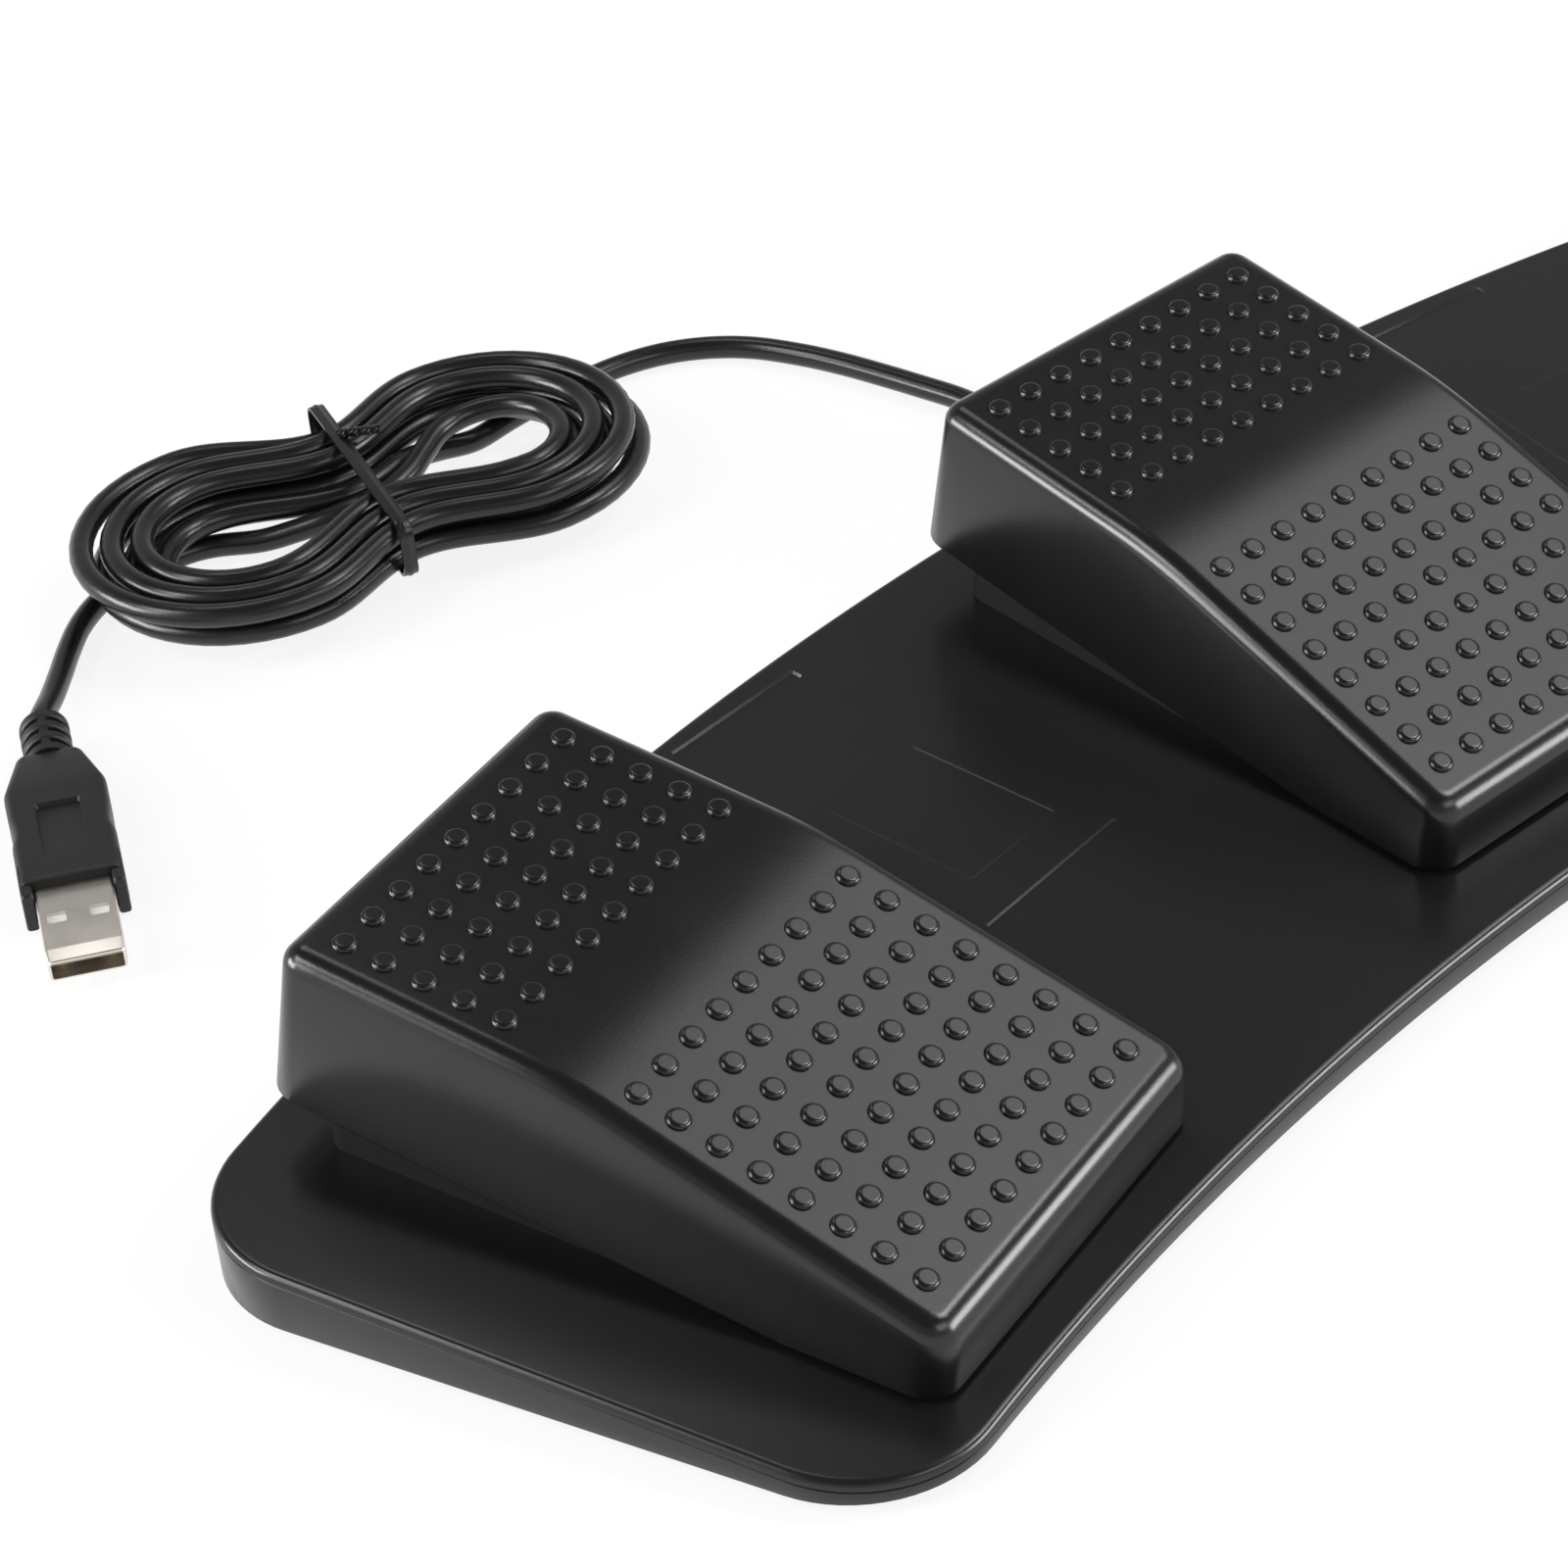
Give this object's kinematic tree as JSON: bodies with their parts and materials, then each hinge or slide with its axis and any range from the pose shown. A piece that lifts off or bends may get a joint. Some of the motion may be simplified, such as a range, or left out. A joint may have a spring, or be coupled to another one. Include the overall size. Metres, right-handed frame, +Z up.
{
  "type": "usb foot pedal switch",
  "caption": "Arc-shaped wedge base carrying fanned, studded, spring-returned foot pedals that press switches, with a tied USB cord and plug.",
  "frame": {"origin": "on the floor under the middle of the base, its cord left out", "axes": "+X along the base's width to the user's right, +Y away from the user, towards the raised rear and the cord, +Z up"},
  "size_m": [0.41, 0.2732, 0.0489],
  "materials": {
    "base_black": "satin, lightly polished",
    "cover_grey": "fine moulded texture, satin",
    "tray_black": "plain moulded",
    "bottom_black": "fine moulded texture",
    "foot_rubber": "matte",
    "screw_steel": "zinc plated",
    "pin_steel": "ground",
    "spring_steel": "drawn wire",
    "switch_cream": "plain moulded",
    "plunger_red": "plain moulded",
    "wire_red": "smooth sleeve",
    "board_green": "lacquered",
    "chip_black": "plain moulded",
    "header_white": "plain moulded",
    "cord_black": "satin sleeve",
    "tie_black": "coated wire",
    "plug_black": "fine moulded texture",
    "shell_nickel": "nickel plated",
    "tongue_white": "plain moulded",
    "contact_gold": "plated"
  },
  "bodies": {
    "base": {"base_plate": "base_black", "bottom_cover": "bottom_black", "cover_screws": "screw_steel", "rubber_feet": "foot_rubber", "pedal_base_left": "tray_black", "pedal_base_middle": "tray_black", "pedal_base_right": "tray_black", "hinge_pin_left": "pin_steel", "hinge_pin_middle": "pin_steel", "hinge_pin_right": "pin_steel", "return_spring_left": "spring_steel", "return_spring_middle": "spring_steel", "return_spring_right": "spring_steel", "switch_body_left": "switch_cream", "switch_body_middle": "switch_cream", "switch_body_right": "switch_cream", "stop_bumpers_left": "foot_rubber", "stop_bumpers_middle": "foot_rubber", "stop_bumpers_right": "foot_rubber", "pedal_screws_left": "screw_steel", "pedal_screws_middle": "screw_steel", "pedal_screws_right": "screw_steel", "switch_lead_left": "wire_red", "switch_lead_middle": "wire_red", "switch_lead_right": "wire_red", "controller_board": "board_green", "controller_chip": "chip_black", "cord_header": "header_white", "board_screws": "screw_steel", "inner_cable": "cord_black", "strain_relief": "plug_black", "usb_lead": "cord_black", "usb_hank": "cord_black", "usb_tail": "cord_black", "cord_tie": "tie_black", "plug_neck": "plug_black", "plug_grip": "plug_black", "plug_shell": "shell_nickel", "plug_tongue": "tongue_white", "plug_contacts": "contact_gold"},
    "pedal_left": {"pedal_cover_left": "cover_grey"},
    "lever_left": {"switch_lever_left": "pin_steel"},
    "plunger_left": {"switch_plunger_left": "plunger_red"},
    "pedal_middle": {"pedal_cover_middle": "cover_grey"},
    "lever_middle": {"switch_lever_middle": "pin_steel"},
    "plunger_middle": {"switch_plunger_middle": "plunger_red"},
    "pedal_right": {"pedal_cover_right": "cover_grey"},
    "lever_right": {"switch_lever_right": "pin_steel"},
    "plunger_right": {"switch_plunger_right": "plunger_red"}
  },
  "joints": [
    {"name": "left_pedal_press", "type": "hinge", "parent": "base", "child": "pedal_left", "pos_m": [-0.13169, -0.03878, 0.01238], "axis": [-0.9646, -0.2632, -0.0184], "range_deg": [0, 4.5], "stiffness_Nm_per_rad": 2.2, "springref_deg": -8.02, "deforming": ["return_spring_left"]},
    {"name": "left_lever_turn", "type": "hinge", "parent": "base", "child": "lever_left", "pos_m": [-0.13684, -0.02059, 0.02197], "axis": [-0.9646, -0.2632, -0.0184], "range_deg": [0, 10.1]},
    {"name": "left_plunger_slide", "type": "slide", "parent": "base", "child": "plunger_left", "axis": [0, 0.0698, -0.9976], "range_m": [0, 0.00087]},
    {"name": "middle_pedal_press", "type": "hinge", "parent": "base", "child": "pedal_middle", "pos_m": [0, -0.01888, 0.01377], "axis": [-1, 0, 0], "range_deg": [0, 4.5], "stiffness_Nm_per_rad": 2.2, "springref_deg": -8.02, "deforming": ["return_spring_middle"]},
    {"name": "middle_lever_turn", "type": "hinge", "parent": "base", "child": "lever_middle", "pos_m": [0, -0.00001, 0.02341], "axis": [-1, 0, 0], "range_deg": [0, 10.1]},
    {"name": "middle_plunger_slide", "type": "slide", "parent": "base", "child": "plunger_middle", "axis": [0, 0.0698, -0.9976], "range_m": [0, 0.00087]},
    {"name": "right_pedal_press", "type": "hinge", "parent": "base", "child": "pedal_right", "pos_m": [0.13169, -0.03878, 0.01238], "axis": [-0.9646, 0.2632, 0.0184], "range_deg": [0, 4.5], "stiffness_Nm_per_rad": 2.2, "springref_deg": -8.02, "deforming": ["return_spring_right"]},
    {"name": "right_lever_turn", "type": "hinge", "parent": "base", "child": "lever_right", "pos_m": [0.13684, -0.02059, 0.02197], "axis": [-0.9646, 0.2632, 0.0184], "range_deg": [0, 10.1]},
    {"name": "right_plunger_slide", "type": "slide", "parent": "base", "child": "plunger_right", "axis": [0, 0.0698, -0.9976], "range_m": [0, 0.00087]}
  ],
  "couplings": [
    {"joint": "left_lever_turn", "follows": "left_pedal_press", "ratio": 2.2222},
    {"joint": "left_plunger_slide", "follows": "left_pedal_press", "m_per_rad": 0.010823},
    {"joint": "middle_lever_turn", "follows": "middle_pedal_press", "ratio": 2.2222},
    {"joint": "middle_plunger_slide", "follows": "middle_pedal_press", "m_per_rad": 0.010823},
    {"joint": "right_lever_turn", "follows": "right_pedal_press", "ratio": 2.2222},
    {"joint": "right_plunger_slide", "follows": "right_pedal_press", "m_per_rad": 0.010823}
  ]
}
